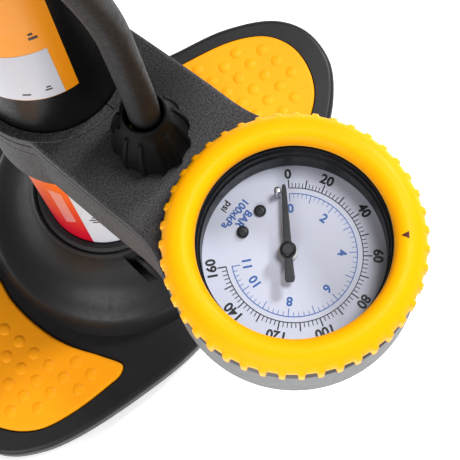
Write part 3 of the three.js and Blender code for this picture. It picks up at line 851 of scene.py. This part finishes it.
# ---- Arm ----
NUT_RIBS = 12
NUT_PATH = [
    (10.9, 200.6, 0.3), (11.2, 200.9, 0.9), (11.3, 203.2, 1.0), (11.15, 207.0, 1.05),
    (10.3, 212.0, 1.05), (9.2, 217.0, 1.0), (8.4, 220.2, 0.9), (8.1, 221.2, 1.0),
    (7.95, 221.7, 0.9), (7.8, 222.1, 0.15), (7.4, 223.3, 0), (7.1, 224.6, 0), (7.0, 226.4, 0),
    (6.85, 227.1, 0), (6.5, 227.45, 0), (6.1, 227.4, 0), (5.8, 227.0, 0), (5.7, 226, 0),
    (5.7, 217.3, 0), (7.7, 217, 0), (7.7, 200.6, 0),
]
NUT_RIB = [
    (-0.5, 0.0), (-0.36, 0.05), (-0.22, 0.15), (-0.16, 0.28), (-0.12, 0.8), (-0.09, 1.0),
    (0, 1.08), (0.09, 1.0), (0.12, 0.8), (0.16, 0.28), (0.22, 0.15), (0.36, 0.05),
]


def arm_outline():
    side = smooth([(24, -13), (24.6, -26), (25.2, -44), (25.6, -58), (27.5, -66), (31, -72)], 4)
    left = [(-x, y) for x, y in side]
    return [*arc(BAND_R, -20, 200, 60), *left, (-20, -80), (20, -80), *reversed(side)]


def arm_housing():
    rings = [(ARM_BOTTOM, 1.0), (ARM_BOTTOM + 0.3, 0.3), (ARM_BOTTOM + 1, 0)]
    rings += [(185.6, 0), (185.8, 0.25), (186.1, 0.25), (186.3, 0)]
    rings += [(193.2, 0), (193.5, 0.6), (194.4, 0.6), (194.7, 0)]
    rings += [(198.6, 0), (199.3, 0.25), (199.75, 0.75), (ARM_TOP, 1.5)]
    body = slab("arm", arm_outline(), rings)
    inner = TUBE_R + 0.2
    collar = fillet([
        (inner, 148), (25.8, 148, 0.4), (BAND_R, 150, 0.5), (BAND_R, 156), (inner, 156),
    ], True)
    lip = fillet([(inner, 199), (27.3, 199), (27.3, 200.5, 0.4), (inner, 200.5, 0.3)], True)
    unite(body, lathe("collar", collar, 128), lathe("lip", lip, 128))
    return carve(
        body,
        disc(TUBE_R + GAP, 140, 210, segments=128),
        disc(CASE_R + GAP, 140, 210, (0, GAUGE_Y), 160),
        block(-18, 18, -54, -28.5, 150, 194),
        disc(5.3, 190, 205, (0, NUT_Y)),
        block(0.0, 0.5, -29, -23, 200.2, 203),
    )


def hose_nut():
    angles, lift = repeated(NUT_RIB, NUT_RIBS, -rad(2))
    return polar("nut", NUT_PATH, angles, lift, (0, NUT_Y))


def build_arm():
    piece(arm_housing(), "arm", "arm_grain_and_sheen", "dark_grey_plastic", "arm_housing", angle=38)
    piece(hose_nut(), "nut", "nut_black", "black_plastic", "hose_nut", angle=40)


# ---- Gauge ----
TOOTH_H = 1.9
TOOTH = [
    (-0.5, 0), (-0.34, 0), (-0.24, 0.05), (-0.2, 0.2), (-0.165, 0.75), (-0.14, 0.95), (-0.1, 1),
    (0, 1), (0.1, 1), (0.14, 0.95), (0.165, 0.75), (0.2, 0.2), (0.24, 0.05), (0.34, 0),
]
TOOTH_SHIFT = 0.45  # of a pitch
MARK_ANGLE = -50.2
MARK_R, MARK_LENGTH, MARK_HALF = 31.2, 2.3, 1.15


def crown(r):
    """The height of the bezel's rounded top at a radius."""
    across, tall, foot = CROWN_INNER if r < CROWN_R else CROWN_OUTER
    return foot + tall * math.sqrt(max(0.0, 1 - ((r - CROWN_R) / across) ** 2))


def bezel():
    path = [
        (35.9, 202.4, 0), (37.8, 202.4, 0.7), (38.2, 202.6, 0.95), (38.25, 203.4, 0.9),
        (38.3, 204.6, 0.86), (38.45, 205.6, 0.78), (38.8, 206.8, 0.6), (39.1, 207.8, 0.47),
    ]
    across, tall, foot = CROWN_OUTER
    for k in range(21):
        a = rad(90) * k / 20
        fade = max(0.0, 1 - k / 8)
        relief = 0.42 * fade * (2 - fade)
        path.append((CROWN_R + across * math.cos(a), foot + tall * math.sin(a), relief))
    across, tall, foot = CROWN_INNER
    for k in range(1, 11):
        a = rad(90) * k / 10
        path.append((CROWN_R - across * math.sin(a), foot + tall * math.cos(a), 0))
    path += [
        (29.3, 210.2, 0), (29.5, 209.9, 0), (31.8, 209.6, 0), (31.8, 208.8, 0), (35.9, 208.8, 0),
    ]
    angles, lift = repeated(TOOTH, TEETH, TOOTH_SHIFT * 2 * math.pi / TEETH)
    return polar("bezel", path, angles, [TOOTH_H * height for height in lift], (0, GAUGE_Y))


def bezel_mark():
    """A small triangle on the crown, with its point towards the middle."""
    top, bottom, steps = [], [], 5
    c, s = math.cos(rad(MARK_ANGLE)), math.sin(rad(MARK_ANGLE))
    for i in range(steps + 1):
        r = MARK_R + MARK_LENGTH * i / steps
        half = MARK_HALF * i / steps
        for side in (-1, 0, 1):
            x = r * c - side * half * s
            y = r * s + side * half * c + GAUGE_Y
            top.append((x, y, crown(r) + 0.05))
            bottom.append((x, y, crown(r) - 0.2))
    n = len(top)
    rim = [(3 * i, 3 * i + 3) for i in range(steps)]
    rim += [(3 * i + 2, 3 * i + 5) for i in range(steps)]
    rim += [(n - 3, n - 2), (n - 2, n - 1)]
    faces = [[p, q, q + n, p + n] for p, q in rim]
    for i in range(steps):
        for k in (3 * i, 3 * i + 1):
            quad = [k, k + 1, k + 4, k + 3]
            faces += [quad, [p + n for p in reversed(quad)]]
    return new_object("mark", top + bottom, faces)


def figure(text, size, x, y, turn, weight):
    """One flat raised figure on the dial, as a mesh. turn is in degrees."""
    font = bpy.data.curves.new("text", "FONT")
    font.body = text
    font.size = size * MM
    font.align_x = "CENTER"
    font.align_y = "CENTER"
    font.offset = weight * MM
    font.extrude = 0.02 * MM
    font.resolution_u = 3
    obj = bpy.data.objects.new("text", font)
    bpy.context.collection.objects.link(obj)
    place = Matrix.Translation(at(x, y + GAUGE_Y, DIAL_TOP + 0.03))
    obj.matrix_world = place @ Matrix.Rotation(rad(turn), 4, "Z")
    bpy.context.view_layer.update()
    graph = bpy.context.evaluated_depsgraph_get()
    mesh = bpy.data.meshes.new_from_object(obj.evaluated_get(graph))
    mesh.transform(obj.matrix_world)
    bpy.data.objects.remove(obj, do_unlink=True)
    flat = bpy.data.objects.new("figure", mesh)
    bpy.context.collection.objects.link(flat)
    return flat


def scale_angle(psi):
    """The printed angle of a pressure. The first part is squeezed, as in the photograph."""
    if psi < SLOW_PSI:
        return ZERO_ANGLE - SLOW_SWEEP * psi / SLOW_PSI
    rest = (psi - SLOW_PSI) / (FULL_PSI - SLOW_PSI)
    return ZERO_ANGLE - SLOW_SWEEP - (SWEEP - SLOW_SWEEP) * rest


def dial_line(a, r0, r1, width):
    """The corners of one scale line."""
    c, s = math.cos(rad(a)), math.sin(rad(a))
    corners = ((r0, -1), (r1, -1), (r1, 1), (r0, 1))
    return [(r * c - side * width / 2 * s, r * s + side * width / 2 * c + GAUGE_Y)
            for r, side in corners]


def scale(name, look, r, angles, short, long, widths):
    """A ring of scale lines and its base line. Lines run outwards, or inwards if negative."""
    lines = []
    for i, a in enumerate(angles):
        major = i % 5 == 0
        r0, r1 = sorted((r, r + (long if major else short)))
        outline = dial_line(a, r0, r1, widths[1] if major else widths[0])
        lines.append(slab("line", outline, [(DIAL_TOP + 0.01, 0), (DIAL_TOP + 0.05, 0)]))
    outer = arc(r + 0.14, ZERO_ANGLE, ZERO_ANGLE - SWEEP, 120, GAUGE_Y)
    inner = arc(r - 0.14, ZERO_ANGLE - SWEEP, ZERO_ANGLE, 120, GAUGE_Y)
    lines.append(slab("line", outer + inner, [(DIAL_TOP + 0.01, 0), (DIAL_TOP + 0.04, 0)]))
    piece(merge(lines), name, look, "black_plastic", flats=False)


def build_dial_print():
    def ring(values, size, r, weight, unit):
        """Numbers around the dial, each with its foot towards the middle."""
        for value in values:
            a = scale_angle(value * unit)
            x, y = r * math.cos(rad(a)), r * math.sin(rad(a))
            yield figure(str(value), size, x, y, a - 90, weight)

    black = [*ring(range(0, FULL_PSI + 1, 20), 4.25, 25.5, 0.13, 1)]
    black.append(figure("psi", 3.2, -1.1, 25.7, 180, 0.07))
    piece(merge(black), "figures_psi", "ink_black", "black_plastic", flats=False)
    blue = [*ring((0, 2, 4, 6, 8, 10, 11), 3.9, 14.5, 0.12, PSI_PER_BAR)]
    blue.append(figure("100xkPa", 3.35, -1.1, 22.3, 180, 0.09))
    blue.append(figure("BAR", 3.3, -0.7, 19.2, 180, 0.11))
    piece(merge(blue), "figures_bar", "ink_blue", "black_plastic", flats=False)
    psi = [scale_angle(2 * i) for i in range(81)]
    bar = [scale_angle(0.2 * i * PSI_PER_BAR) for i in range(56)]
    scale("scale_psi", "ink_black", 21.1, psi, 1.6, 2.7, (0.25, 0.38))
    scale("scale_bar", "ink_blue", 19.3, bar, -1.4, -2.5, (0.17, 0.24))


def from_needle(r, a):
    """The place at a radius and angle from the pointer's axis."""
    return NEEDLE[0] + r * math.cos(rad(a)), NEEDLE[1] + r * math.sin(rad(a))


def pointer():
    tail = [(-10.05, 0.6), (-9.8, 1.25), (-8.9, 1.55), (-5.5, 1.35), (-2.0, 1.2)]
    tip = [(2.0, 1.2), (8, 1.05), (14, 0.88), (19, 0.74), (20.2, 0.55), (20.6, 0.2)]
    side = [*tail, *tip]
    outline = [*side, *[(x, -y) for x, y in reversed(side)]]
    c, s = math.cos(rad(REST_ANGLE)), math.sin(rad(REST_ANGLE))
    outline = [(NEEDLE[0] + x * c - y * s, NEEDLE[1] + x * s + y * c) for x, y in outline]
    return slab("pointer", outline, rounded_rings(196, 196.75, 0, 0.2, 2))


def build_case():
    case = fillet([
        (0, 168), (34, 168, 1.5), (37.5, 169.6, 2), (CASE_R, 173.5, 2), (CASE_R, 200.8, 0.9),
        (38.2, 201.8, 0.5), (35.4, 201.8), (35.4, 208.2, 0.3), (31.3, 208.2), (31.3, 171), (0, 171),
    ])
    case = lathe("case", case, 192, (0, GAUGE_Y))
    piece(case, "gauge_cup", "case_grey", "case_grey", "gauge_case", angle=40)
    piece(bezel(), "bezel", "yellow", "yellow_plastic", "gauge_bezel",
          body="bezel", angle=50, flats=False)
    piece(bezel_mark(), "bezel_mark", "ink_brown", "black_plastic", body="bezel", flats=False)
    liner = fillet([
        (28.2, 192.4), (31, 192.4), (31, 207), (29.6, 207, 0.3), (29.5, 204.8, 0.2),
        (28.95, 204.5, 0.35), (28.8, 201.6, 0.2), (28.3, 201.3, 0.3),
    ], True)
    liner = lathe("liner", liner, 192, (0, GAUGE_Y))
    piece(liner, "dial_surround", "gloss_black", "gloss_black", "lens_ring")


def build_dial_screws():
    head = fillet([
        (0, 187.4), (1, 187.4), (1, 192.4), (1.85, 192.4), (1.85, 193.1, 0.3),
        (1.3, 193.4, 0.4), (0, 193.45),
    ])
    for i, x in enumerate((4.25, -4.25), 1):
        body = lathe("screw", head, 40, (x, GAUGE_Y + 16.7))
        groove = block(x - 0.22, x + 0.22, GAUGE_Y + 15.4, GAUGE_Y + 18, 193.1, 195)
        piece(carve(body, groove), f"face_screw_{i}", "pointer_black", "black_plastic",
              f"dial_screw_{i}")


def build_gauge():
    build_case()
    build_dial_screws()
    piece(pointer(), "needle_hand", "pointer_black", "black_plastic", "pointer",
          body="needle", angle=45)
    path = fillet([
        (0, 195.2), (2.5, 195.2, 0.2), (2.5, 197.5, 0.5), (1.7, 198.1, 0.3), (1.5, 197.9),
        (0, 197.9),
    ])
    hub = lathe("hub", path, 48, NEEDLE)
    piece(hub, "needle_hub", "pointer_black", "black_plastic", body="needle")
    path = fillet([(1.3, 192.4), (3.1, 192.4, 0.2), (3.1, 193.6, 0.4), (1.3, 193.8)], True)
    bush = lathe("bush", path, 48, NEEDLE)
    piece(bush, "centre_bush", "white_plastic", "white_plastic", "dial_bush")
    path = fillet([(0, 192.4), (1.1, 192.4), (1.1, 199.2, 0.5), (0, 199.2)])
    peg = lathe("peg", path, 32, from_needle(18.3, REST_ANGLE + 6.4))
    piece(peg, "rest_peg", "steel", "steel", "stop_peg")
    build_dial_print()


# ---- Holders and chuck ----
def holder(z0, z1, sides, jaw_in, jaw_out):
    """A band on the barrel with an open jaw on each given side."""
    below, above = z0 - 1, z1 + 1
    body = lathe("holder", [(TUBE_R, z0), (BAND_R, z0), (BAND_R, z1), (TUBE_R, z1)], 128)
    for side in sides:
        web = [(15.5 * side, -20), (36 * side, -39), (41 * side, -28), (22.5 * side, -12)]
        unite(body, slab("web", web, [(z0, 0), (z1, 0)]),
              disc(jaw_out, z0, z1, (side * LEG_X, LEG_Y)))
    mouth = jaw_in * 0.78
    for side in sides:
        x, front = side * LEG_X, LEG_Y - jaw_out - 2
        carve(body, disc(jaw_in, below, above, (x, LEG_Y)),
              block(x - mouth, x + mouth, front, LEG_Y, below, above))
    return carve(body, disc(TUBE_R + GAP, below, above, segments=128))


def pin_hole(r):
    return disc(r, LEG_X - 12, LEG_X + 12, (PIN_Y, 0), 32, "x", HEAD_Z)


def chuck_body():
    path = [
        (0, 288), (8.6, 288, 1), (9.6, 310, 6), (8.8, 331, 3), (7.8, 335.4, 1.2), (7.8, 350, 1),
        (8.6, 353, 0.8), (8.6, 356, 0.6), (0, 356),
    ]
    body = lathe("chuck", fillet(path), 72, (LEG_X, LEG_Y))
    front, back = LEG_Y - 17, LEG_Y + 13
    path = fillet([(0, front), (11, front, 1), (11, back, 1.5), (0, back)])
    ears = block(LEG_X - 8, LEG_X + 8, LEG_Y + 8, LEG_Y + 20, HEAD_Z - 6, HEAD_Z + 6)
    soften(ears, 32, 2.0)
    unite(body, lathe("head", path, 72, (LEG_X, 0), "y", HEAD_Z), ears)
    return carve(
        body,
        disc(6.3, LEG_Y - 20, LEG_Y - 3, (LEG_X, 0), 64, "y", HEAD_Z),
        block(LEG_X - 4.3, LEG_X + 4.3, LEG_Y + 13.3, LEG_Y + 24, HEAD_Z - 9, HEAD_Z + 12),
        pin_hole(1.6),
    )


def chuck_lever():
    side = smooth([
        (13.6, 0), (14.4, -2.1), (16.5, -3), (18.6, -2.1), (19.6, 0), (19.6, 4), (16.8, 10),
        (15.6, 22), (17, 40), (19, 47), (17.6, 48.6), (15.4, 46), (13.4, 38), (12.6, 22),
        (13.6, 10),
    ], 4, True)
    rings = [(h + LEG_X - 4, d) for h, d in rounded_rings(0, 8, 0.7, 0.7, 3)]
    lever = slab("lever", side, rings, lambda a, b, h: (h, a + LEG_Y, b + HEAD_Z))
    for k in range(5):
        y, z = LEG_Y + 16.3 + 0.16 * k * k, HEAD_Z + 24 + 4 * k
        carve(lever, disc(0.7, LEG_X - 6, LEG_X + 6, (y, 0), 16, "x", z))
    return carve(lever, pin_hole(1.7))


def mouth_cap():
    front, step, back = LEG_Y - 21, LEG_Y - 17.3, LEG_Y - 12.3
    path = fillet([
        (4.3, front, 0.5), (10.4, front, 0.9), (10.4, step, 0.5), (6, step), (6, back), (4.3, back),
    ], True)
    path = [(r, h, -0.5 if r > 10.2 else 0.0) for r, h in path]
    angles = around(160)
    return polar("cap", path, angles, flutes(angles, 20), (LEG_X, 0), "y", HEAD_Z)


def ferrule():
    path = [
        (0, 356.3), (7.2, 356.3, 0.4), (7.2, 358.2), (6.8, 358.8), (6.8, 360.2), (7.2, 360.8),
        (7.2, 362.2), (6.8, 362.8), (6.8, 364.2), (7.2, 364.8), (7.2, 367.4, 0.6),
        (6.4, CHUCK_TOP, 0.6), (5.0, CHUCK_TOP), (5.0, 369.6), (0, 369.6),
    ]
    return lathe("ferrule", fillet(path), 64, (LEG_X, LEG_Y))


def build_chuck():
    clip = holder(520, 534, (-1, 1), HOSE_R + GAP, 8)
    piece(clip, "hose_clip", "satin_black", "black_plastic", "hose_holder", bevel=0.5)
    clip = holder(337, 349, (1,), 8.1, 11)
    piece(clip, "chuck_clip", "satin_black", "black_plastic", "chuck_holder", bevel=0.5)
    piece(chuck_body(), "chuck", "satin_black", "black_plastic", "chuck_body", bevel=0.3)
    piece(chuck_lever(), "lever_arm", "yellow", "yellow_plastic", "chuck_lever",
          body="lever", angle=40)
    piece(mouth_cap(), "mouth_cap", "soft_grip", "dark_grey_plastic", "chuck_cap")
    piece(ferrule(), "crimp", "steel", "steel", "hose_ferrule")


# ---- CAD pieces that keep their shape ----
CAD_LOOKS = {
    "lens": ["gauge_lens"],
    "dial_white": ["gauge_dial"],
    "steel": ["base_bolt", "inner_cylinder", "piston_nut", "arm_screw_1", "arm_screw_2",
              "pointer_arbor", "chuck_pin"],
    "soft_grip": ["base_plug", "piston"],
    "rubber": ["check_valve_disc", "piston_seal", "rod_bumper", "chuck_gasket"],
    "white_plastic": ["rod_bush"],
    "arm_grain_and_sheen": ["arm_cover"],
    "brass": ["air_block", "port_nipple", "hose_barb", "bourdon_tube", "movement_frame",
              "gauge_stem"],
}


def finish_cad_nodes():
    for look, names in CAD_LOOKS.items():
        for name in names:
            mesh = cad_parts[name].data
            mesh.materials.clear()
            mesh.materials.append(M[look])


# ---- Floor and light ----
FLOOR_HALF = 60
LAMPS = [  # name, place in metres, size, power
    ("key", (0.62, -0.28, 2.1), 0.6, 24),
    ("side", (1.15, -0.1, 0.95), 0.25, 12),
    ("front", (-1.0, -0.5, 0.75), 0.9, 11),
]


def studio():
    floor = bpy.data.meshes.new("floor")
    corners = [(-1, -1), (1, -1), (1, 1), (-1, 1)]
    floor.from_pydata([(x * FLOOR_HALF, y * FLOOR_HALF, 0) for x, y in corners], [], [(0, 1, 2, 3)])
    ground = bpy.data.objects.new("floor", floor)
    ground.location.z = -0.0002
    bpy.context.collection.objects.link(ground)
    floor.materials.append(surface("pale_floor", (0.93, 0.93, 0.93), 0.7, 0.01, 0.03, patch=3,
                                   Emission_Color=(1, 1, 1, 1), Emission_Strength=0.3))

    world = bpy.data.worlds.new("studio")
    bpy.context.scene.world = world
    world.use_nodes = True
    sky = world.node_tree.nodes["Background"]
    sky.inputs["Color"].default_value = (1.0, 1.0, 1.0, 1)
    sky.inputs["Strength"].default_value = 0.27

    target = at(0, -50, 120)
    for name, place, size, power in LAMPS:
        light = bpy.data.lights.new(name, "AREA")
        light.shape = "DISK"
        light.size = size
        light.energy = power
        lamp = bpy.data.objects.new(name, light)
        lamp.location = place
        lamp.rotation_euler = (target - Vector(place)).to_track_quat("-Z", "Y").to_euler()
        bpy.context.collection.objects.link(lamp)
    view = bpy.context.scene.view_settings
    view.view_transform = "Standard"
    view.exposure = 0.18
    view.gamma = 0.85


build_base()
build_barrel()
build_handle()
build_arm()
build_gauge()
build_chuck()
finish_cad_nodes()
studio()
